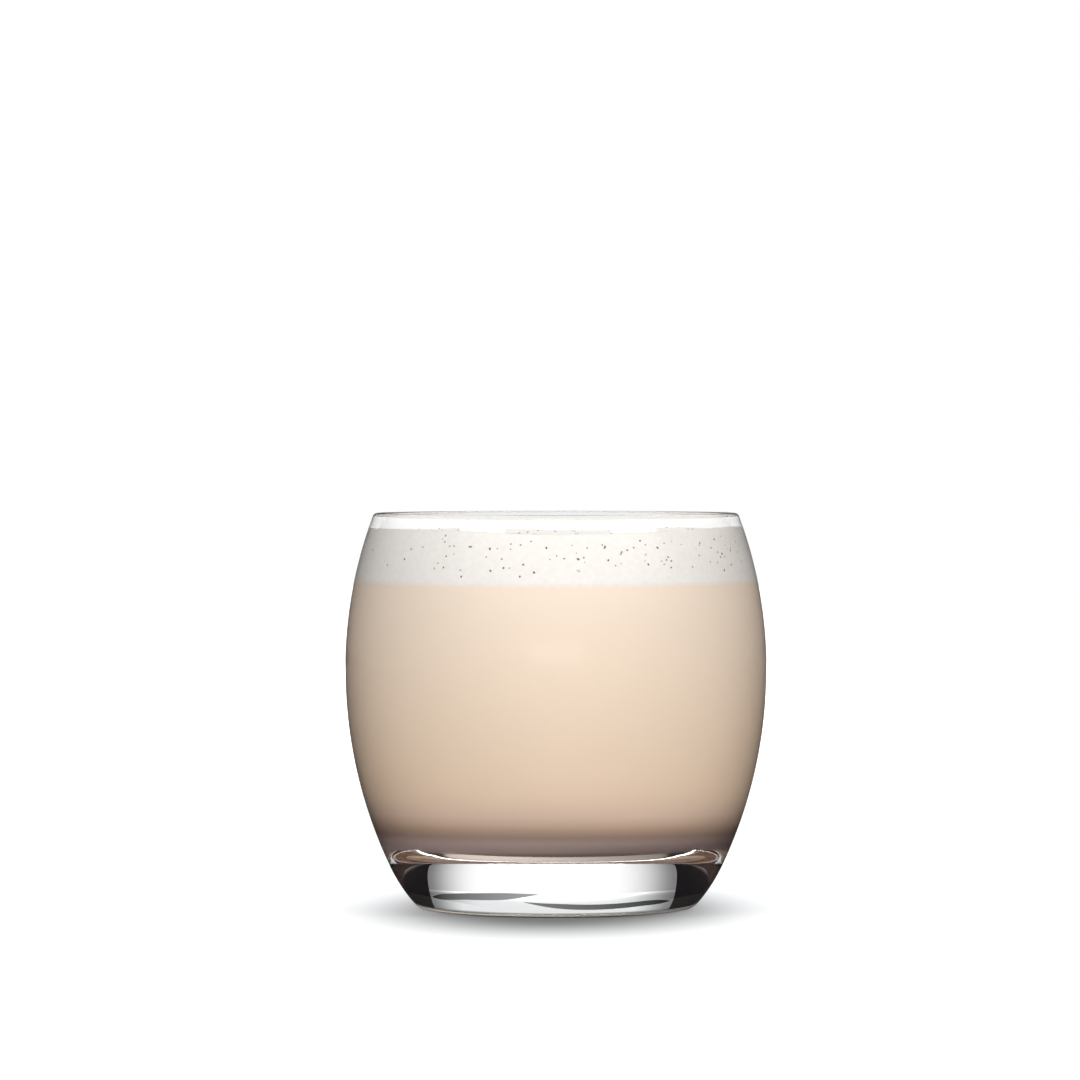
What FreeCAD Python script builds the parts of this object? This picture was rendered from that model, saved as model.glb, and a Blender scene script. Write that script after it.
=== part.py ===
"""A barrel-shaped glass tumbler with a heavy base, filled with eggnog under a head of foam.

The glass, the drink and the foam are three solids on one axis, +Z, standing on z = 0.
Lengths are in millimetres and angles in radians.
"""

import FreeCAD, Part
import math
import os

# The outside of the glass
GLASS_HEIGHT = 84.4
BELLY_RADIUS = 45.0  # the widest part of the barrel
BELLY_HEIGHT = 51.2
UPPER_ARC = 92.7  # radius of the side's curve from the belly up to the lip
FLANK_INSET = 9.5  # from the belly in to the top of the flank, the tighter curve below
FLANK_HEIGHT = 9.0
FLANK_ARC = 35.1  # radius of the flank's curve, down to the heel
HEEL_ROUNDING = 3.5  # between the flank and the foot ring
FOOT_RING = 4.4  # width of the flat ring that the glass stands on
PUNT_DEPTH = 1.2  # how far the underside is hollowed at the axis

# The inside of the glass
WALL = 2.0
BASE_THICKNESS = 13.0  # solid glass under the drink
CORNER_ROUNDING = 17.0  # between the inner wall and the floor

# The contents
FOAM_GAP = 3.8  # from the lip down to the foam's mean level
FOAM_DEPTH = 11.7  # from the foam's mean level down to the drink

# The swell of the foam's top: (height, wavelength, direction, phase) of each wave
SWELLS = (
    (0.45, 90.0, 0.0, math.pi),
    (0.14, 45.0, 0.0, 2.3),
    (0.10, 31.0, 1.3, 0.6),
    (0.06, 21.0, 2.2, 4.0),
)
SWELL_GRID = 5.0  # spacing of the points that the foam's top passes through

DRINK_HEIGHT = GLASS_HEIGHT - FOAM_GAP - FOAM_DEPTH
DOWN = -math.pi / 2


def sagitta_radius(chord, rise):
    """Radius of the arc that leaves a line at a tangent and rises off it over a length."""
    return (chord**2 + rise**2) / (2 * rise)


LOWER_ARC = sagitta_radius(BELLY_HEIGHT - FLANK_HEIGHT, FLANK_INSET)


def point(radius, height):
    """A point of a half section, which lies in the XZ plane."""
    return FreeCAD.Vector(radius, 0, height)


def on_circle(centre, radius, angle):
    """A point of a circle, its angle measured from +X towards +Z."""
    return centre + point(radius * math.cos(angle), radius * math.sin(angle))


def arc(centre, radius, start, end):
    """An edge along a circle from one angle to another."""
    angles = (start, (start + end) / 2, end)
    return Part.Arc(*(on_circle(centre, radius, angle) for angle in angles)).toShape()


def line(start, end):
    """A straight edge."""
    return Part.LineSegment(start, end).toShape()


def revolved(edges):
    """The solid that a closed half section sweeps around the axis."""
    face = Part.Face(Part.Wire(edges))
    return face.revolve(FreeCAD.Vector(0, 0, 0), FreeCAD.Vector(0, 0, 1), 360)


UPPER_CENTRE = point(BELLY_RADIUS - UPPER_ARC, BELLY_HEIGHT)
LOWER_CENTRE = point(BELLY_RADIUS - LOWER_ARC, BELLY_HEIGHT)
LIP_ROUNDING = WALL / 2
LIP_ANGLE = math.asin(
    (GLASS_HEIGHT - LIP_ROUNDING - BELLY_HEIGHT) / (UPPER_ARC - LIP_ROUNDING)
)

# Each curve of the outside meets the next at a tangent, and the heel meets the ground
FLANK_ANGLE = -math.asin((BELLY_HEIGHT - FLANK_HEIGHT) / LOWER_ARC)
FLANK_CENTRE = on_circle(LOWER_CENTRE, LOWER_ARC - FLANK_ARC, FLANK_ANGLE)
HEEL_REACH = FLANK_ARC - HEEL_ROUNDING
HEEL_ANGLE = math.asin((HEEL_ROUNDING - FLANK_CENTRE.z) / HEEL_REACH)
FOOT_RADIUS = FLANK_CENTRE.x + HEEL_REACH * math.cos(HEEL_ANGLE)


def outer_side():
    """The outside, from the lip down to the foot ring."""
    return [
        arc(UPPER_CENTRE, UPPER_ARC, LIP_ANGLE, 0),
        arc(LOWER_CENTRE, LOWER_ARC, 0, FLANK_ANGLE),
        arc(FLANK_CENTRE, FLANK_ARC, FLANK_ANGLE, HEEL_ANGLE),
        arc(point(FOOT_RADIUS, HEEL_ROUNDING), HEEL_ROUNDING, HEEL_ANGLE, DOWN),
    ]


def underside():
    """The foot ring and the shallow hollow inside it, ending on the axis."""
    punt_radius = FOOT_RADIUS - FOOT_RING
    punt_arc = sagitta_radius(punt_radius, PUNT_DEPTH)
    punt_centre = point(0, PUNT_DEPTH - punt_arc)
    rim_angle = math.acos(punt_radius / punt_arc)
    return [
        line(point(FOOT_RADIUS, 0), point(punt_radius, 0)),
        arc(punt_centre, punt_arc, rim_angle, math.pi / 2),
    ]


def cavity_side():
    """The inside, from the axis out along the floor and up to the lip."""
    corner_height = BASE_THICKNESS + CORNER_ROUNDING
    corner_reach = LOWER_ARC - WALL - CORNER_ROUNDING
    corner_angle = -math.asin((BELLY_HEIGHT - corner_height) / corner_reach)
    corner = on_circle(LOWER_CENTRE, corner_reach, corner_angle)
    return [
        line(point(0, BASE_THICKNESS), point(corner.x, BASE_THICKNESS)),
        arc(corner, CORNER_ROUNDING, DOWN, corner_angle),
        arc(LOWER_CENTRE, LOWER_ARC - WALL, corner_angle, 0),
        arc(UPPER_CENTRE, UPPER_ARC - WALL, 0, LIP_ANGLE),
    ]


def make_glass():
    """The tumbler, with a fully rounded lip."""
    lip = on_circle(UPPER_CENTRE, UPPER_ARC - LIP_ROUNDING, LIP_ANGLE)
    return revolved(
        outer_side()
        + underside()
        + [line(point(0, PUNT_DEPTH), point(0, BASE_THICKNESS))]
        + cavity_side()
        + [arc(lip, LIP_ROUNDING, LIP_ANGLE + math.pi, LIP_ANGLE)]
    )


def make_cavity():
    """The space inside the tumbler, up to the lip."""
    mouth = on_circle(UPPER_CENTRE, UPPER_ARC - WALL, LIP_ANGLE)
    lid = line(mouth, point(0, mouth.z))
    axis = line(point(0, mouth.z), point(0, BASE_THICKNESS))
    return revolved(cavity_side() + [lid, axis])


def slab(bottom, top):
    """A level block, wider than the glass, between two heights."""
    width = 2 * BELLY_RADIUS
    corner = FreeCAD.Vector(-BELLY_RADIUS, -BELLY_RADIUS, bottom)
    return Part.makeBox(width, width, top - bottom, corner)


def swell(x, y):
    """Height of the foam's top, above or below its mean level."""
    return sum(
        height * math.cos(math.tau / length * (x * math.cos(way) + y * math.sin(way)) + phase)
        for height, length, way, phase in SWELLS
    )


def below_swell():
    """A block, wider than the glass, with the foam's uneven surface as its top."""
    steps = math.ceil(BELLY_RADIUS / SWELL_GRID)
    places = [SWELL_GRID * step for step in range(-steps, steps + 1)]
    level = GLASS_HEIGHT - FOAM_GAP
    surface = Part.BSplineSurface()
    surface.interpolate([[FreeCAD.Vector(x, y, level + swell(x, y)) for y in places] for x in places])
    return surface.toShape().extrude(FreeCAD.Vector(0, 0, -level))


cavity = make_cavity()
nodes = {
    "glass": make_glass(),
    "eggnog": cavity.common(slab(0, DRINK_HEIGHT)).Solids[0],
    "foam": cavity.common(slab(DRINK_HEIGHT, GLASS_HEIGHT)).common(below_swell()).Solids[0],
}
os.makedirs("parts", exist_ok=True)
for name, shape in nodes.items():
    shape.exportStep(f"parts/{name}.step")
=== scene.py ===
"""Dresses the glass of eggnog: a clear tumbler, the drink, its head of foam and the specks of spice.

The object is worked out in millimetres, turned into metres by MM, and stands on the axis +Z.
The studio round it is in metres.
"""

import math
import random

import bpy
from mathutils import Matrix, Vector, noise


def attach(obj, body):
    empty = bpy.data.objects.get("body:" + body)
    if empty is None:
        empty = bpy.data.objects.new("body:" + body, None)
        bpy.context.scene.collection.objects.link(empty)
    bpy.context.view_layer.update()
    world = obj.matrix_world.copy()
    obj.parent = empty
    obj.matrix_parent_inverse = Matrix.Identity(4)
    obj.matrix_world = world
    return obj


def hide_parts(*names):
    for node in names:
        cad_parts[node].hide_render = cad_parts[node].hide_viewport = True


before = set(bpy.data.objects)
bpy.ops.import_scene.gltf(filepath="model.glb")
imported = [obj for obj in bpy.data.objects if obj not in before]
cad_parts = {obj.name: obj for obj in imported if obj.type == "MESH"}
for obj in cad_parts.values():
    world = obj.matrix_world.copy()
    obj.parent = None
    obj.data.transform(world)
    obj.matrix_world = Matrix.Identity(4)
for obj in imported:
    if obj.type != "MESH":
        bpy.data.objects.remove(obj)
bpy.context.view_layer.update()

MM = 0.001
WHITE = (1, 1, 1, 1)
BLACK = (0, 0, 0, 1)

# ---- sizes, the same as the solids'
GLASS_HEIGHT = 84.4
BELLY_RADIUS = 45.0  # the widest part of the barrel
BELLY_HEIGHT = 51.2
UPPER_ARC = 92.7  # radius of the side's curve from the belly up to the lip
FLANK_INSET = 9.5  # from the belly in to the top of the flank, the tighter curve below
FLANK_HEIGHT = 9.0
FLANK_ARC = 35.1  # radius of the flank's curve, down to the heel
HEEL_ROUNDING = 3.5  # between the flank and the foot ring
FOOT_RING = 4.4  # width of the flat ring that the glass stands on
PUNT_DEPTH = 1.2  # how far the underside is hollowed at the axis
WALL = 2.0
BASE_THICKNESS = 13.0  # solid glass under the drink
CORNER_ROUNDING = 17.0  # between the inner wall and the floor
FOAM_GAP = 3.8  # from the lip down to the foam's mean level
FOAM_DEPTH = 11.7  # from the foam's mean level down to the drink
SWELLS = (  # (height, wavelength, direction, phase) of each wave of the foam's top
    (0.45, 90.0, 0.0, math.pi),
    (0.14, 45.0, 0.0, 2.3),
    (0.10, 31.0, 1.3, 0.6),
    (0.06, 21.0, 2.2, 4.0),
)

# ---- how finely the meshes are divided
AROUND = 256  # steps around the axis
BARREL_STEPS = 40  # steps along each of the barrel's two curves
ROUNDED_STEPS = 24  # along the flank, the inner corner and the hollow underneath
HEEL_STEPS = 12
LIP_STEPS = 16
FOAM_STEPS = 16  # up the foam's side
FOAM_RINGS = 90  # across the foam's top, from the wall to the axis
SHARP_EDGE = 35  # degrees; where two faces meet at more than this, the edge stays sharp
ON_AXIS = 1e-6  # a radius below this is a point on the axis

# ---- sizes of the looks
SKIN = 0.02  # the glass is drawn this much inside its solid, to stay within its box
SEAT = 0.1  # the contents reach this far into the glass, so that no air shows between them
BUBBLE_GRAIN = 1.3  # size of the foam's small lumps
BUBBLE_RELIEF = 0.12  # and their height
OTHER_LUMPS = 9  # the height in the noise of a second layer of lumps, half the size
FOAM_BLEND = 1.4  # height over which the foam turns into the drink
FREE_TOP = 0.7  # where a filling's surface faces up more than this, it doesn't touch the glass

# ---- the grains of spice; a thickness, width or length is half of the grain's own
SIDE_SPECKS = 125  # against the glass, all round
TOP_SPECKS = 60  # on top of the foam
SPECK_SEED = 12
SPECK_WIDTH = 0.19
SPECK_SPREAD = 0.35  # how much the width varies
SPECK_LENGTHS = (1.0, 1.2, 1.7)  # a grain's length is one of these times its width
SIDE_THICKNESS = 0.09
TOP_THICKNESS = 0.12
SPECK_DEPTH = 0.03  # how far the middle of a grain lies behind the foam's side
SPECK_MARGIN = 1.0  # from the wall in to the outermost grain on top
SPECK_CENTRE = -70  # degrees about the axis where the most grains are, a little right of the front
SPECK_GATHERING = 1.0  # how much they gather there; 0 is evenly all round
SPECK_BAND = (0.15, 0.95, 0.7)  # lowest, highest and most likely place of a grain up the foam's side
SPECK_TILT = 0.5  # radians; how far a grain leans at most
SPECK_ROUGHNESS = 0.35  # how far a grain's points stray from a smooth bead
SPECK_BELT = 0.45  # height of its two rings of points, for a bead of radius 1

# ---- optics and colours
GLASS_IOR = 1.5
DRINK_IOR = 1.345
MIRROR_ROUGHNESS = 0.0
GLASS_SHADE = (0.97, 0.97, 0.97, 1.0)  # light that passes through a wall of the glass
DEEP_BOUNCES = 3.5  # light mirrored more often than this inside the wall shows a painted reflection of the drink, a flat brown lit by the lamps
# the flat brown of that painted reflection
DEEP_REFLECTION_COLOUR = (0.40, 0.30, 0.255, 1.0)
DRINK_COLOURS_AND_SHADE = (  # (height, colour) up the side, darker and browner towards the bottom, with brown and dark bands of painted shade in the rounded corner
    (12.9, (0.80, 0.68, 0.60)),
    (13.1, (0.10, 0.065, 0.055)),
    (13.8, (0.12, 0.08, 0.07)),
    (14.7, (0.50, 0.36, 0.33)),
    (16.3, (0.66, 0.49, 0.45)),
    (17.5, (0.57, 0.395, 0.32)),
    (18.7, (0.72, 0.50, 0.37)),
    (20.0, (0.89, 0.64, 0.49)),
    (21.5, (0.95, 0.72, 0.565)),
    (25.0, (0.91, 0.70, 0.53)),
    (31.0, (0.93, 0.735, 0.56)),
    (40.0, (0.92, 0.75, 0.585)),
    (66.0, (0.91, 0.785, 0.655)),
)
FOAM_COLOUR = (0.90, 0.89, 0.86)
MOTTLE_SCALE = 900.0  # patches of the foam's mottling to a metre
MOTTLE_DETAIL = 2.0
MOTTLE = (0.3, 0.7, 0.96, 1.0)  # from the noise's low and high values to the darkest and lightest patch
SPICE_COLOUR = (0.045, 0.035, 0.03, 1.0)

# ---- the studio, in metres and degrees
FLOOR_REACH = 3.0  # from the axis to the middle of each of its edges
FLOOR_HEIGHT = -0.0001  # just under the foot
FLOOR_PAINT = (0.30, 0.325, 0.34, 1.0)  # a little cool, as the lamps at the sides are warm
FLOOR_BOUNCE = (0.06, 0.06, 0.06, 1.0)  # the floor as it lights the glass from below
FLOOR_DARK = (0.02, 0.02, 0.02, 1.0)  # the floor where the glass mirrors it, and where it is painted dark as seen through the glass
SLEEVE_RADIUS = 0.16  # from the axis to the ring of dark cards round the base
SLEEVE_HEIGHT = 0.06
SLEEVE_STEPS = 144
CARD_START = 36.2  # where a card's hard edge is, turned from straight behind the base
CARD_FADE = 15.5  # and where its soft grey border begins
CARD_GREY = 0.8  # how dark that border gets before the hard edge
CARD_BLACK = (0.01, 0.01, 0.013, 1.0)
CARD_TURN = -1.8  # turns the cards and the floor, which moves the light between the cards to the right
EXIT_ASIDE = 0.0073  # from the axis to where light leaves the back of the base
EXIT_BEHIND = 0.034
STREAK_RADIUS = 0.1  # from the axis to the thin dark strips behind the base, seen only through the glass as painted shade in dark streaks
STREAK_STEPS = 24
STREAK_TAPER = 0.25  # share of a strip's length over which each of its ends narrows
STREAK_TIP = 0.04  # keeps those ends from narrowing to nothing
GLASS_MIDDLE = (0, 0, 0.04)  # what most of the lamps face
PLAIN = (1.0, 1.0, 1.0)
WARM = (1.0, 0.92, 0.87)  # colour of the lamps at the sides
GLOSS_RISE = (0.15, 0.5)  # sines of the heights between which the mirrored world brightens

# Levels on the floor, each as (start, end, level up to the start, level from the end on)
NEAR_GLOW = (0.033, 0.107, 0.0, 0.8)  # its own light round the foot, outside a painted shadow that deepens the glass's own
PAINTED_SHADOW_DEPTH = 2.15  # from front to back that painted shadow is this many times its width
FAR_GLOW = (0.3, 1.0, 0.0, 0.55)  # and its own light farther off
PAINTED_CARD_SHADE = (0.046, 0.056, 0.0, 1.0)  # painted shade on the floor in the cards' sectors, seen through the glass from outside the foot
FAR_PAINTED_SHADE = (0.15, 0.8, 0.22, 0.0)  # a faint painted shade on the floor, seen through the glass, that fades out farther off
UNDER_GLOW = 0.9  # painted light: the floor's glow under the foot, in place of the light that the clear base pipes up to the drink's underside
UNDER_EDGE = (0.9, 1.3)  # where that light starts to fade and ends, in radii of the foot
UNDER_SIDES = (-0.015, 0.02, 1.6, 0.5)  # and how it changes from left to right

# ---- the camera
LENS = 228.6  # millimetres, for a sensor of SENSOR millimetres
SENSOR = 36.0
CAMERA_PLACE = (-0.0034, -1.4647, 0.1024)
CAMERA_TARGET = (-0.0034, 0, 0.0786)

# ---- the outline of the glass
UPPER_CENTRE = (BELLY_RADIUS - UPPER_ARC, BELLY_HEIGHT)
LOWER_ARC = ((BELLY_HEIGHT - FLANK_HEIGHT) ** 2 + FLANK_INSET**2) / (2 * FLANK_INSET)
LOWER_CENTRE = (BELLY_RADIUS - LOWER_ARC, BELLY_HEIGHT)
LIP_ROUNDING = WALL / 2
LIP_ANGLE = math.asin((GLASS_HEIGHT - LIP_ROUNDING - BELLY_HEIGHT) / (UPPER_ARC - LIP_ROUNDING))


def turned(radius, angle):
    """The point (x, y) at a radius and an angle."""
    return radius * math.cos(angle), radius * math.sin(angle)


def on_circle(centre, radius, angle):
    """A point (radius, height) of a circle in a half section."""
    across, up = turned(radius, angle)
    return centre[0] + across, centre[1] + up


def arc(centre, radius, start, end, steps):
    """Points along a circle from one angle to another."""
    return [on_circle(centre, radius, start + (end - start) * i / steps) for i in range(steps + 1)]


FLANK_ANGLE = -math.asin((BELLY_HEIGHT - FLANK_HEIGHT) / LOWER_ARC)
FLANK_CENTRE = on_circle(LOWER_CENTRE, LOWER_ARC - FLANK_ARC, FLANK_ANGLE)
HEEL_REACH = FLANK_ARC - HEEL_ROUNDING
HEEL_ANGLE = math.asin((HEEL_ROUNDING - FLANK_CENTRE[1]) / HEEL_REACH)
FOOT_RADIUS = FLANK_CENTRE[0] + HEEL_REACH * math.cos(HEEL_ANGLE)
FOAM_LEVEL = GLASS_HEIGHT - FOAM_GAP
DRINK_HEIGHT = FOAM_LEVEL - FOAM_DEPTH
DOWN = -math.pi / 2


def outer_side():
    """The outside of the glass, from the foot ring up to the lip."""
    return (
        arc((FOOT_RADIUS, HEEL_ROUNDING), HEEL_ROUNDING - SKIN, DOWN, HEEL_ANGLE, HEEL_STEPS)
        + arc(FLANK_CENTRE, FLANK_ARC - SKIN, HEEL_ANGLE, FLANK_ANGLE, ROUNDED_STEPS)[1:]
        + arc(LOWER_CENTRE, LOWER_ARC - SKIN, FLANK_ANGLE, 0, BARREL_STEPS)[1:]
        + arc(UPPER_CENTRE, UPPER_ARC - SKIN, 0, LIP_ANGLE, BARREL_STEPS)[1:]
    )


def underside():
    """The hollow under the glass, from the axis out to the foot ring."""
    punt_radius = FOOT_RADIUS - FOOT_RING
    punt_arc = (punt_radius**2 + PUNT_DEPTH**2) / (2 * PUNT_DEPTH)
    rim_angle = math.acos(punt_radius / punt_arc)
    centre = (0, PUNT_DEPTH - punt_arc + SKIN)
    return arc(centre, punt_arc, math.pi / 2, rim_angle, ROUNDED_STEPS)


def wall_radius(height, seat):
    """Radius of the inside at a height above the rounded corner, set into the glass by seat."""
    centre, reach = (LOWER_CENTRE, LOWER_ARC) if height < BELLY_HEIGHT else (UPPER_CENTRE, UPPER_ARC)
    return centre[0] + math.sqrt((reach - WALL + seat) ** 2 - (height - BELLY_HEIGHT) ** 2)


def inner_side(seat, top):
    """The inside of the glass from the axis along the floor and up the wall, set into the glass by seat."""
    wall = WALL - seat
    corner_reach = LOWER_ARC - WALL - CORNER_ROUNDING
    corner_angle = -math.asin((BELLY_HEIGHT - BASE_THICKNESS - CORNER_ROUNDING) / corner_reach)
    corner = on_circle(LOWER_CENTRE, corner_reach, corner_angle)
    top_angle = math.asin((top - BELLY_HEIGHT) / (UPPER_ARC - wall))
    return (
        [(0, BASE_THICKNESS - seat)]
        + arc(corner, CORNER_ROUNDING + seat, DOWN, corner_angle, ROUNDED_STEPS)
        + arc(LOWER_CENTRE, LOWER_ARC - wall, corner_angle, 0, BARREL_STEPS)[1:]
        + arc(UPPER_CENTRE, UPPER_ARC - wall, 0, top_angle, BARREL_STEPS)[1:]
    )


# ---- objects and meshes
def added(name, data):
    """A new object in the scene."""
    made = bpy.data.objects.new(name, data)
    bpy.context.scene.collection.objects.link(made)
    return made


def meshed(name, verts, faces, paint):
    """A new object from points in metres."""
    mesh = bpy.data.meshes.new(name)
    mesh.from_pydata(verts, [], faces)
    mesh.materials.append(paint)
    return added(name, mesh)


def smooth_piece(name, verts, faces, paint):
    """A smooth piece of the object from points in millimetres, with its sharp edges kept."""
    made = meshed(name, [Vector(vert) * MM for vert in verts], faces, paint)
    made.data.shade_smooth()
    made.data.set_sharp_from_angle(angle=math.radians(SHARP_EDGE))
    return made


def revolved(name, profile, paint, moved=lambda *place: place):
    """A closed piece swept around the axis by a half section that starts and ends on it.

    The section's points are (radius, height), and moved(x, y, height) gives where each one goes.
    """
    verts, rings = [], []
    for radius, height in profile:
        count = AROUND if radius > ON_AXIS else 1
        rings.append(range(len(verts), len(verts) + count))
        for i in range(count):
            verts.append(moved(*turned(radius, math.tau * i / AROUND), height))
    faces = []
    for low, high in zip(rings, rings[1:]):
        for i in range(AROUND):
            j = (i + 1) % AROUND
            if len(low) == 1:
                faces.append((low[0], high[j], high[i]))
            elif len(high) == 1:
                faces.append((low[i], low[j], high[0]))
            else:
                faces.append((low[i], low[j], high[j], high[i]))
    return smooth_piece(name, verts, faces, paint)


def swell(x, y):
    """Height of the foam's top, above or below its mean level."""
    return sum(
        height * math.cos(math.tau / length * (x * math.cos(way) + y * math.sin(way)) + phase)
        for height, length, way, phase in SWELLS
    )


def frothed(x, y, height):
    """A point of the foam moved by its swell and small lumps, which fade out down to its level bottom.

    It keeps its share of the way out to the wall.
    """
    coarse = noise.noise(Vector((x, y, 0)) / BUBBLE_GRAIN)
    fine = noise.noise(Vector((x, y, OTHER_LUMPS)) * 2 / BUBBLE_GRAIN) / 2
    share = (height - DRINK_HEIGHT) / FOAM_DEPTH
    lifted = height + share * (swell(x, y) + BUBBLE_RELIEF * (coarse + fine))
    scale = wall_radius(lifted, SEAT) / wall_radius(height, SEAT)
    return x * scale, y * scale, lifted


# ---- materials
def material(name):
    """A material, its nodes and its one surface input."""
    made = bpy.data.materials.new(name)
    made.use_nodes = True
    tree = made.node_tree
    tree.nodes.clear()
    return made, tree, tree.nodes.new("ShaderNodeOutputMaterial").inputs["Surface"]


def plug(tree, source, socket):
    """Links an output to an input, or sets the input to a value; None leaves it alone."""
    if isinstance(source, bpy.types.NodeSocket):
        tree.links.new(source, socket)
    elif source is not None:
        socket.default_value = source


def node(tree, kind, *sources, **settings):
    """The outputs of a new shader node, with its inputs plugged in order."""
    made = tree.nodes.new("ShaderNode" + kind)
    for name, value in settings.items():
        setattr(made, name, value)
    for socket, source in zip(made.inputs, sources):
        plug(tree, source, socket)
    return made.outputs


def principled(tree, **values):
    """A Principled shader's output, its inputs named with _ for each space."""
    made = tree.nodes.new("ShaderNodeBsdfPrincipled")
    for name, value in values.items():
        plug(tree, value, made.inputs[name.replace("_", " ")])
    return made.outputs[0]


def mixed(tree, share, first, second):
    """The first shader turning into the second as share goes from 0 to 1."""
    return node(tree, "MixShader", share, first, second)[0]


def maths(tree, operation, *sources):
    """The result of a Math node."""
    return node(tree, "Math", *sources, operation=operation)[0]


def ramp(tree, value, start, end, low, high):
    """A value's smooth rise or fall from low to high while it goes from start to end."""
    return node(tree, "MapRange", value, start, end, low, high, interpolation_type="SMOOTHSTEP")[0]


def object_place(tree):
    """Where a point of the surface is, in the object's own metres."""
    return node(tree, "TexCoord")["Object"]


def along(tree, vector, axis):
    """One coordinate of a vector, X, Y or Z."""
    return node(tree, "SeparateXYZ", vector)[axis]


def by_height(tree, place, stops):
    """A colour that changes with the height of a place, from stops of (height, colour)."""
    (bottom, first), *between, (top, last) = stops
    share = node(tree, "MapRange", along(tree, place, "Z"), bottom * MM, top * MM)[0]
    made = tree.nodes.new("ShaderNodeValToRGB")
    plug(tree, share, made.inputs[0])
    band = made.color_ramp.elements
    band[0].color = (*first, 1)
    band[-1].color = (*last, 1)
    for height, colour in between:
        band.new((height - bottom) / (top - bottom)).color = (*colour, 1)
    return made.outputs[0]


def clear_glass():
    """Clear glass, through which light reaches its contents unbent, less what the glass mirrors away, and
    which shows a painted reflection of the drink deep inside its wall.
    """
    made, tree, surface = material("clear_glass")
    path = node(tree, "LightPath")
    glass = principled(tree, Roughness=0.0, IOR=GLASS_IOR, Transmission_Weight=1.0, Base_Color=WHITE)
    # Mirrored more than DEEP_BOUNCES times inside the wall, the glass shows a painted reflection: a flat
    # brown in place of the drink
    drink = node(tree, "BsdfDiffuse", DEEP_REFLECTION_COLOUR)[0]
    glass = mixed(tree, maths(tree, "GREATER_THAN", path["Glossy Depth"], DEEP_BOUNCES), glass, drink)

    # Seen from the contents, the outer face is met from within, where the node turns the index over
    clear, blocked = (node(tree, "BsdfTransparent", colour)[0] for colour in (GLASS_SHADE, BLACK))
    passing = mixed(tree, node(tree, "Fresnel", 1 / GLASS_IOR)[0], clear, blocked)
    lit = mixed(tree, path["Is Shadow Ray"], glass, passing)
    plug(tree, mixed(tree, path["Is Diffuse Ray"], lit, passing), surface)
    return made


def wet(name, **values):
    """An opaque filling: where it touches the glass, it turns into a mirror at a grazing angle."""
    made, tree, surface = material(name)
    body = principled(tree, **values)
    mirror = node(tree, "BsdfAnisotropic", WHITE, MIRROR_ROUGHNESS)[0]
    facing_up = along(tree, node(tree, "NewGeometry")["Normal"], "Z")
    touching = maths(tree, "LESS_THAN", facing_up, FREE_TOP)
    share = maths(tree, "MULTIPLY", node(tree, "Fresnel", DRINK_IOR / GLASS_IOR)[0], touching)
    plug(tree, mixed(tree, share, body, mirror), surface)
    return made, tree, body.node.inputs["Base Color"]


def eggnog():
    """Cream-coloured drink, darker and browner towards the bottom, with painted shade in brown and dark
    bands in the corner at its bottom.
    """
    made, tree, colour = wet("eggnog", Roughness=0.5, Specular_IOR_Level=0.0)
    plug(tree, by_height(tree, object_place(tree), DRINK_COLOURS_AND_SHADE), colour)
    return made


def foam():
    """Matt off-white froth with faint mottling, which blends into the drink at its bottom."""
    made, tree, colour = wet("foam", Roughness=0.7, Specular_IOR_Level=0.0)
    place = object_place(tree)
    drink_colour = DRINK_COLOURS_AND_SHADE[-1][1]
    plain = by_height(tree, place, ((DRINK_HEIGHT, drink_colour), (DRINK_HEIGHT + FOAM_BLEND, FOAM_COLOUR)))
    share = ramp(tree, node(tree, "TexNoise", place, None, MOTTLE_SCALE, MOTTLE_DETAIL)[0], *MOTTLE)
    plug(tree, node(tree, "VectorMath", plain, None, None, share, operation="SCALE")[0], colour)
    return made


def ground_spice():
    """Dark brown ground nutmeg."""
    made, tree, surface = material("spice")
    plug(tree, principled(tree, Base_Color=SPICE_COLOUR, Roughness=0.8), surface)
    return made


# ---- the four pieces
def make_tumbler():
    """The glass, with a fully rounded lip."""
    lip = on_circle(UPPER_CENTRE, UPPER_ARC - LIP_ROUNDING, LIP_ANGLE)
    lip_arc = arc(lip, LIP_ROUNDING - SKIN, LIP_ANGLE, LIP_ANGLE + math.pi, LIP_STEPS)
    mouth = on_circle(UPPER_CENTRE, UPPER_ARC - WALL, LIP_ANGLE)
    inside = inner_side(0, mouth[1])[::-1]
    return revolved("tumbler", underside() + outer_side() + lip_arc[1:] + inside, clear_glass())


def make_drink():
    """The drink, up to the level where the foam starts."""
    return revolved("drink", inner_side(SEAT, DRINK_HEIGHT) + [(0, DRINK_HEIGHT)], eggnog())


def make_foam_head():
    """The head of foam, with a lumpy top."""
    heights = [DRINK_HEIGHT + FOAM_DEPTH * i / FOAM_STEPS for i in range(FOAM_STEPS + 1)]
    side = [(wall_radius(height, SEAT), height) for height in heights]
    edge = wall_radius(FOAM_LEVEL, SEAT)
    top = [(edge * (1 - i / FOAM_RINGS), FOAM_LEVEL) for i in range(1, FOAM_RINGS + 1)]
    return revolved("foam_head", [(0, DRINK_HEIGHT)] + side + top, foam(), frothed)


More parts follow.
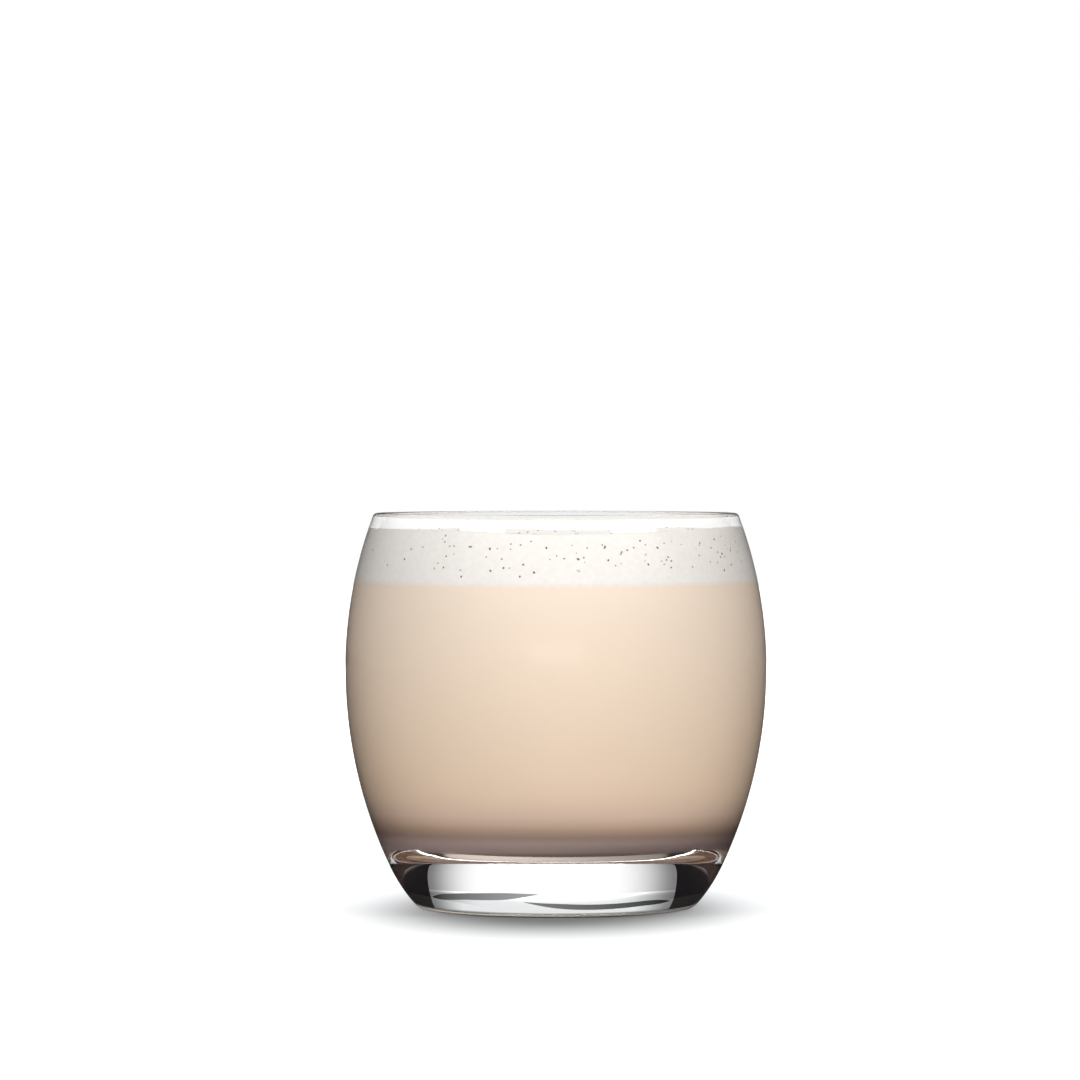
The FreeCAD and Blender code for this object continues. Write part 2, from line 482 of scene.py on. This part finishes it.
def grain(place, tilt, size, seed):
    """Points and faces of one rough grain: a lumpy bead of twenty faces, size being half of it each way."""
    sides = 5
    directions = [(0, 0, 1)]
    for shift, height in ((0, SPECK_BELT), (0.5, -SPECK_BELT)):
        directions += [(*turned(1, math.tau * (i + shift) / sides), height) for i in range(sides)]
    directions += [(0, 0, -1)]
    points = []
    for way in directions:
        reach = 1 + SPECK_ROUGHNESS * noise.noise(Vector(way) * 2 + Vector((seed, 0, 0)))
        points.append(place + tilt @ (Vector(way).normalized() * reach * Vector(size)))
    top, bottom = 0, 2 * sides + 1
    upper, lower = range(1, sides + 1), range(sides + 1, bottom)
    faces = []
    for i in range(sides):
        j = (i + 1) % sides
        faces += [(top, upper[i], upper[j]), (upper[i], lower[i], upper[j])]
        faces += [(lower[i], lower[j], upper[j]), (bottom, lower[j], lower[i])]
    return points, faces


def make_spice():
    """All the grains in one mesh: most lie against the glass, some on top of the foam."""
    pick = random.Random(SPECK_SEED)
    verts, faces = [], []
    for index in range(SIDE_SPECKS + TOP_SPECKS):
        width = SPECK_WIDTH * (1 + SPECK_SPREAD * pick.uniform(-1, 1))
        length = width * pick.choice(SPECK_LENGTHS)
        if index < SIDE_SPECKS:
            turn = pick.vonmisesvariate(math.radians(SPECK_CENTRE), SPECK_GATHERING)
            height = DRINK_HEIGHT + FOAM_DEPTH * pick.triangular(*SPECK_BAND)
            place = (*turned(wall_radius(height, SEAT - SPECK_DEPTH), turn), height)
            size = (SIDE_THICKNESS, width, length)
        else:
            turn = pick.uniform(0, math.tau)
            out = wall_radius(FOAM_LEVEL, -SPECK_MARGIN) * math.sqrt(pick.random())
            place = frothed(*turned(out, turn), FOAM_LEVEL)
            size = (width, length, TOP_THICKNESS)
        lean = pick.uniform(-SPECK_TILT, SPECK_TILT)
        tilt = Matrix.Rotation(turn, 3, "Z") @ Matrix.Rotation(lean, 3, "X")
        points, sides = grain(Vector(place), tilt, size, index)
        faces += [tuple(corner + len(verts) for corner in side) for side in sides]
        verts += points
    return smooth_piece("spice", verts, faces, ground_spice())


for piece, part, slot in (
    (make_tumbler(), "glass", "clear_glass"),
    (make_drink(), "eggnog", "eggnog"),
    (make_foam_head(), "foam", "foam"),
):
    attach(piece, "root")
    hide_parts(part)
grains = make_spice()
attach(grains, "root")


# ---- the studio
def strip_faces(count):
    """Faces of an open strip whose points go two by two along it."""
    return [(i, i + 2, i + 3, i + 1) for i in range(0, count - 2, 2)]


def only_through_glass(made):
    """Hides a piece of the studio from everything but what is seen through the glass."""
    made.visible_camera = False
    made.visible_diffuse = False
    made.visible_glossy = False
    made.visible_shadow = False


def card_share(tree, place):
    """How dark the cards round the base are at a place: 0 where none is and 1 well inside one.

    They are the same on all four sides. Light crosses the axis inside the base and leaves its back near
    one spot on each side, so the angle of a card's edge is taken from the spot across the axis.
    """
    x, y = (maths(tree, "ABSOLUTE", along(tree, place, axis)) for axis in "XY")
    aside = maths(tree, "ADD", maths(tree, "MINIMUM", x, y), EXIT_ASIDE)
    behind = maths(tree, "SUBTRACT", maths(tree, "MAXIMUM", x, y), EXIT_BEHIND)
    turn = maths(tree, "ARCTAN2", aside, behind)
    soft = ramp(tree, turn, math.radians(CARD_FADE), math.radians(CARD_START), 0.0, CARD_GREY)
    hard = maths(tree, "GREATER_THAN", turn, math.radians(CARD_START))
    return maths(tree, "MAXIMUM", soft, hard)


def sleeve():
    """The ring of dark cards, seen only through the glass, which gives the clear base its dark sides."""
    card, tree, surface = material("sleeve")
    place = object_place(tree)
    fade = ramp(tree, along(tree, place, "Z"), SLEEVE_HEIGHT / 2, SLEEVE_HEIGHT, 1.0, 0.0)
    share = maths(tree, "MULTIPLY", card_share(tree, place), fade)
    black = node(tree, "BsdfDiffuse", CARD_BLACK)[0]
    plug(tree, mixed(tree, share, node(tree, "BsdfTransparent")[0], black), surface)

    verts = []
    for i in range(SLEEVE_STEPS + 1):
        x, y = turned(SLEEVE_RADIUS, math.tau * i / SLEEVE_STEPS)
        verts += [(x, y, FLOOR_HEIGHT), (x, y, SLEEVE_HEIGHT)]
    made = meshed("sleeve", verts, strip_faces(len(verts)), card)
    made.rotation_euler.z = math.radians(CARD_TURN)
    only_through_glass(made)


def streak(name, turns, heights, widths, greys):
    """A thin curved strip behind the base, seen only through the glass as a painted dark streak, from one
    angle, height, width and grey to another.

    Angles are in degrees from straight behind, and heights and widths in millimetres.
    """
    verts = []
    for i in range(STREAK_STEPS + 1):
        share = i / STREAK_STEPS
        turn, height, width = (start + (end - start) * share for start, end in (turns, heights, widths))
        narrowing = min(1, STREAK_TIP + min(share, 1 - share) / STREAK_TAPER)
        half = width / 2 * math.sin(math.pi / 2 * narrowing)
        y, x = turned(STREAK_RADIUS, math.radians(turn))
        verts += [(x, y, (height - half) * MM), (x, y, (height + half) * MM)]
    paint, tree, surface = material(name)
    ends = [STREAK_RADIUS * math.sin(math.radians(turn)) for turn in turns]
    level = node(tree, "MapRange", along(tree, object_place(tree), "X"), *ends, *greys)[0]
    plug(tree, node(tree, "Emission", WHITE, level)[0], surface)
    made = meshed(name, verts, strip_faces(len(verts)), paint)
    only_through_glass(made)


def floor_glow(tree, place, reach):
    """The floor's own light, which leaves a painted shadow round the foot over the glass's own, and makes
    it white farther off.
    """
    squeezed = node(tree, "VectorMath", place, (PAINTED_SHADOW_DEPTH, 1, 1), operation="MULTIPLY")[0]
    off_painted_shadow = node(tree, "VectorMath", squeezed, operation="LENGTH")["Value"]
    level = maths(tree, "ADD", ramp(tree, off_painted_shadow, *NEAR_GLOW), ramp(tree, reach, *FAR_GLOW))
    return node(tree, "Emission", WHITE, level)[0]


def painted_floor_shade(tree, place, reach):
    """How much painted shade the floor shows through the glass in the cards' sectors from just outside the
    foot, and a faint painted shade all round that fades out farther off.
    """
    outside = ramp(tree, reach, *PAINTED_CARD_SHADE)
    inside = maths(tree, "LESS_THAN", reach, SLEEVE_RADIUS)
    shade = maths(tree, "MULTIPLY", card_share(tree, place), maths(tree, "MULTIPLY", outside, inside))
    return maths(tree, "MAXIMUM", shade, ramp(tree, reach, *FAR_PAINTED_SHADE))


def under_glow(tree, place, reach):
    """Painted light: a glow of the floor under the foot, in place of what the clear base pipes up to the
    drink's underside.
    """
    start, end = (FOOT_RADIUS * MM * share for share in UNDER_EDGE)
    across = ramp(tree, along(tree, place, "X"), *UNDER_SIDES)
    level = maths(tree, "MULTIPLY", ramp(tree, reach, start, end, UNDER_GLOW, 0.0), across)
    return node(tree, "Emission", WHITE, level)[0]


def floor():
    """A pale floor that keeps the glass's shadow, deepened by a painted shadow round the foot, and glows
    white farther off. Under the foot it glows as painted light for the drink's underside, and seen through
    the glass it is painted dark in the cards' sectors.
    """
    paint, tree, surface = material("floor")
    path = node(tree, "LightPath")
    place = object_place(tree)
    reach = node(tree, "VectorMath", place, operation="LENGTH")["Value"]
    pale, bounce, dark = (
        node(tree, "BsdfDiffuse", colour)[0] for colour in (FLOOR_PAINT, FLOOR_BOUNCE, FLOOR_DARK)
    )
    bright = node(tree, "AddShader", pale, floor_glow(tree, place, reach))[0]
    # Seen through the glass, the floor is painted dark in the cards' sectors
    shade = maths(tree, "MULTIPLY", painted_floor_shade(tree, place, reach), path["Is Transmission Ray"])
    shown = mixed(tree, shade, bright, dark)
    # Painted light: the floor glows under the foot and lights the drink's underside through the base
    lit = node(tree, "AddShader", bounce, under_glow(tree, place, reach))[0]
    unseen = mixed(tree, path["Is Glossy Ray"], lit, dark)
    seen = maths(tree, "MAXIMUM", path["Is Camera Ray"], path["Is Transmission Ray"])
    plug(tree, mixed(tree, seen, unseen, shown), surface)

    corners = ((-1, -1), (1, -1), (1, 1), (-1, 1))
    verts = [(x * FLOOR_REACH, y * FLOOR_REACH, FLOOR_HEIGHT) for x, y in corners]
    made = meshed("floor", verts, [(0, 1, 2, 3)], paint)
    made.rotation_euler.z = math.radians(CARD_TURN)


def surroundings(fill, low, high, through):
    """A world that is white to the camera, at the level through behind the glass, and lights with fill.

    Gloss mirrors it at the level low near the horizon and high from 30 degrees up.
    """
    world = bpy.data.worlds.new("studio")
    bpy.context.scene.world = world
    world.use_nodes = True
    tree = world.node_tree
    tree.nodes.clear()
    path = node(tree, "LightPath")
    rise = along(tree, node(tree, "TexCoord")["Generated"], "Z")
    mirrored = ramp(tree, rise, *GLOSS_RISE, low, high)
    soft, dim, bright, white = (
        node(tree, "Background", WHITE, level)[0] for level in (fill, mirrored, through, 1.0)
    )
    unseen = mixed(tree, path["Is Glossy Ray"], soft, dim)
    behind = mixed(tree, path["Is Transmission Ray"], unseen, bright)
    out = tree.nodes.new("ShaderNodeOutputWorld").inputs["Surface"]
    plug(tree, mixed(tree, path["Is Camera Ray"], behind, white), out)


def point_at(made, place, target):
    """Puts a lamp or camera in its place, facing a target, and gives the distance between them."""
    way = Vector(target) - Vector(place)
    made.location = place
    made.rotation_euler = way.to_track_quat("-Z", "Y").to_euler()
    return way.length


def softbox(name, place, width, height, strength, target=GLASS_MIDDLE, colour=PLAIN):
    """A lamp that faces a target; strength is what a white card facing it there would show."""
    lamp = bpy.data.lights.new(name, "AREA")
    lamp.shape = "RECTANGLE"
    lamp.size = width
    lamp.size_y = height
    lamp.color = colour
    made = added(name, lamp)
    made.visible_glossy = False
    distance = point_at(made, place, target)
    lamp.energy = strength * math.pi**2 * distance**2


sleeve()
floor()
# Two strips of painted shade, seen only through the glass base as dark streaks
streak("left_streak", turns=(22.0, 2.0), heights=(3.7, 10.2), widths=(3.1, 1.6), greys=(0.0, 0.40))
streak("right_streak", turns=(3.5, -18.5), heights=(8.0, 2.9), widths=(1.5, 2.2), greys=(0.22, 0.0))
surroundings(fill=0.08, low=0.04, high=0.9, through=1.12)
softbox("top_light", (0.0, 0.38, 1.1), width=0.9, height=0.9, strength=0.45, target=(0, 0, 0))
softbox("front_light", (0.0, -1.5, 0.16), width=0.8, height=0.16, strength=0.65)
softbox("right_light", (0.85, -0.6, 0.7), width=0.6, height=0.4, strength=0.46, colour=WARM)
softbox("left_light", (-0.8, -0.62, 0.8), width=0.6, height=0.4, strength=0.40, colour=WARM)
softbox("back_light", (0.0, 1.5, 0.35), width=0.9, height=0.3, strength=0.65)

camera = added("camera", bpy.data.cameras.new("camera"))
camera.data.lens = LENS
camera.data.sensor_width = SENSOR
point_at(camera, CAMERA_PLACE, CAMERA_TARGET)
bpy.context.scene.camera = camera
bpy.context.scene.view_settings.view_transform = "Standard"
